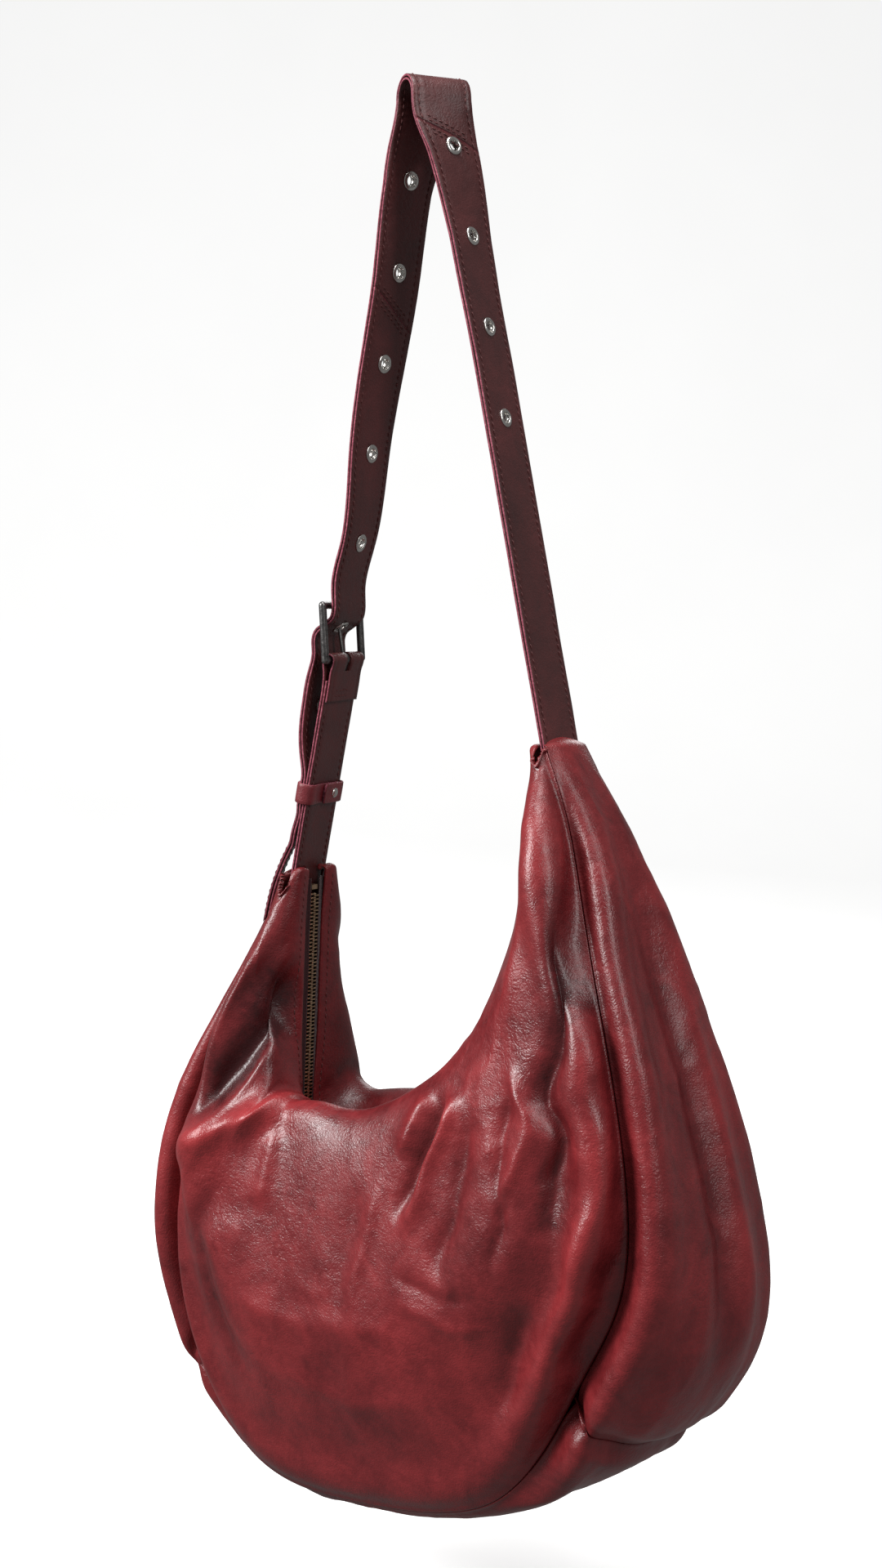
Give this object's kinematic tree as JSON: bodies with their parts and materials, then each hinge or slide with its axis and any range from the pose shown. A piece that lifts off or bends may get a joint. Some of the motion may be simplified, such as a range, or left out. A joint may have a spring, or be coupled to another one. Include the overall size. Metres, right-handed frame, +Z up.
{
  "type": "hobo bag",
  "caption": "Soft leather hobo bag: a crescent body with a zip mouth, hung from one shoulder strap with eyelets, a prong buckle and a keeper.",
  "frame": {"origin": "on the axis of the rail that the strap hangs over, in the middle of the strap's width", "axes": "+X along the bag towards the peak where the strap is sewn in, +Y through the bag towards its back panel, +Z up with the bag hanging"},
  "size_m": [0.4057, 0.1598, 0.8675],
  "materials": {
    "bag_leather": "waxed pull-up oxblood leather, semi-gloss, fine grain",
    "strap_leather": "darker oxblood leather with raw cut edges",
    "lining": "plain woven cotton",
    "zip_tape": "woven tape",
    "zip_metal": "antique brass",
    "nickel": "polished nickel",
    "buckle_metal": "dark gunmetal, satin"
  },
  "bodies": {
    "bag": {"front_panel": "bag_leather", "back_panel": "bag_leather", "gusset_right": "bag_leather", "gusset_left": "bag_leather", "base_panel": "bag_leather", "lining_front": "lining", "lining_back": "lining", "lining_gusset": "lining", "zip_tape_front": "zip_tape", "zip_tape_back": "zip_tape", "zip_teeth_front": "zip_metal", "zip_teeth_back": "zip_metal", "zip_top_stops": "zip_metal", "zip_bottom_stop": "zip_metal", "strap_outer_right": "strap_leather", "strap_outer_left": "strap_leather", "strap_inner_right": "strap_leather", "strap_inner_left": "strap_leather", "eyelets": "nickel", "eyelet_washers": "nickel", "buckle_tab": "strap_leather"},
    "zip_slider": {"zip_slider_upper": "zip_metal", "zip_slider_lower": "zip_metal"},
    "zip_pull": {"zip_pull": "zip_metal"},
    "buckle_frame": {"buckle_frame": "buckle_metal"},
    "buckle_prong": {"buckle_prong": "buckle_metal"},
    "keeper": {"keeper_loop": "strap_leather", "keeper_rivet": "nickel"}
  },
  "joints": [
    {"name": "zip_slider_run", "type": "hinge", "parent": "bag", "child": "zip_slider", "pos_m": [-0.10897, 0, -0.45132], "axis": [0, 1, 0], "range_deg": [0, 80]},
    {"name": "zip_pull_swing", "type": "hinge", "parent": "zip_slider", "child": "zip_pull", "pos_m": [0.08507, 0, -0.40357], "axis": [0, 1, 0], "range_deg": [0, 150]},
    {"name": "buckle_frame_swing", "type": "hinge", "parent": "bag", "child": "buckle_frame", "pos_m": [-0.069, 0, -0.334], "axis": [-0.133, 0.9907, 0.0288], "range_deg": [-1, 1]},
    {"name": "buckle_prong_swing", "type": "hinge", "parent": "buckle_frame", "child": "buckle_prong", "pos_m": [-0.069, 0, -0.334], "axis": [-0.133, 0.9907, 0.0288], "range_deg": [-1, 0]},
    {"name": "keeper_run", "type": "slide", "parent": "bag", "child": "keeper", "axis": [0.212, 0, 0.9773], "range_m": [-0.004, 0.004]}
  ]
}
